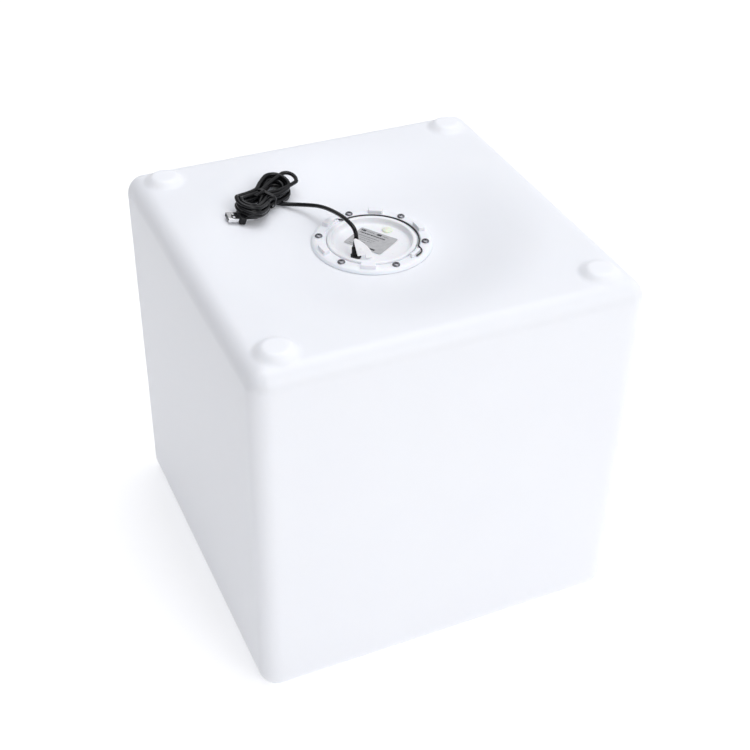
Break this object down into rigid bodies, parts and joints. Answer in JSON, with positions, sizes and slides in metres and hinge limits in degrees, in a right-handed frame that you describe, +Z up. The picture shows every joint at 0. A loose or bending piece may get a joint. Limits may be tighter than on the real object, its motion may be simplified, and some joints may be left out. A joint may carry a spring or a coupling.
{
  "type": "floating pool light",
  "caption": "Hollow glowing cube with rounded edges, dished base, feet, screwed ring, twist-lock lamp unit, switch, jack flap and plugged-in charging lead.",
  "frame": {"origin": "middle of the flat face the cube rests on when its base faces up, as stored", "axes": "+Z up, out through the base with the feet and the lamp unit; X and Y along the cube's sides. In use the part is turned over, onto its feet"},
  "size_m": [0.4, 0.4, 0.4161],
  "materials": {
    "shell": "translucent white polyethylene, satin",
    "ring_plastic": "satin white moulded plastic",
    "cap_plastic": "satin white moulded plastic",
    "housing_plastic": "satin white moulded plastic",
    "diffuser": "milky translucent plastic",
    "seal_rubber": "soft grey-white silicone",
    "button_silicone": "pale green translucent silicone",
    "flap_silicone": "glossy white silicone",
    "black_wire": "black coated spring wire",
    "black_plastic": "black moulded plastic",
    "cord_rubber": "glossy black moulded vinyl",
    "tie_black": "black coated twist tie",
    "wire_red": "red insulated wire",
    "wire_black": "black insulated wire",
    "screw_steel": "dark zinc-plated steel",
    "nickel": "nickel plate",
    "switch_metal": "tinned steel can",
    "silver_label": "silver-grey film",
    "lamp_board": "white solder mask on aluminium",
    "driver_board": "green solder mask",
    "cell_wrap": "blue shrink wrap"
  },
  "bodies": {
    "shell": {"shell": "shell", "mounting_ring": "ring_plastic", "ring_gasket": "seal_rubber", "ring_screw_1": "screw_steel", "ring_screw_2": "screw_steel", "ring_screw_3": "screw_steel", "ring_screw_4": "screw_steel", "ring_screw_5": "screw_steel", "ring_screw_6": "screw_steel", "retaining_wire": "black_wire"},
    "lamp_unit": {"lamp_cap": "cap_plastic", "cap_seal": "seal_rubber", "rating_label": "silver_label", "dc_socket": "black_plastic", "socket_nut": "black_plastic", "lamp_housing": "housing_plastic", "diffuser_dome": "diffuser", "led_board": "lamp_board", "driver_board": "driver_board", "board_screw_1": "screw_steel", "board_screw_2": "screw_steel", "board_screw_3": "screw_steel", "button_switch": "switch_metal", "battery_cell_1": "cell_wrap", "battery_cell_2": "cell_wrap", "battery_tray": "housing_plastic", "battery_lead_red": "wire_red", "battery_lead_black": "wire_black", "led_lead": "wire_black"},
    "button": {"power_button": "button_silicone"},
    "flap": {"port_flap": "flap_silicone"},
    "lead": {"charge_barrel": "nickel", "charge_plug": "cord_rubber", "strain_relief": "cord_rubber", "charge_lead": "cord_rubber", "lead_hank": "cord_rubber", "hank_tie": "tie_black", "usb_plug": "cord_rubber", "usb_shell": "nickel"}
  },
  "joints": [
    {"name": "cap_twist", "type": "hinge", "parent": "shell", "child": "lamp_unit", "pos_m": [0, 0, 0.384], "axis": [0, 0, 1], "range_deg": [0, 30]},
    {"name": "button_press", "type": "slide", "parent": "lamp_unit", "child": "button", "axis": [0, 0, -1], "range_m": [0, 0.001], "stiffness_N_per_m": 400, "springref_m": -0.0005},
    {"name": "flap_fold", "type": "hinge", "parent": "lamp_unit", "child": "flap", "pos_m": [-0.014, -0.0232, 0.3775], "axis": [1, 0, 0], "range_deg": [0, 32]},
    {"name": "plug_pull", "type": "slide", "parent": "lamp_unit", "child": "lead", "axis": [0, 0, 1], "range_m": [0, 0.015]}
  ]
}
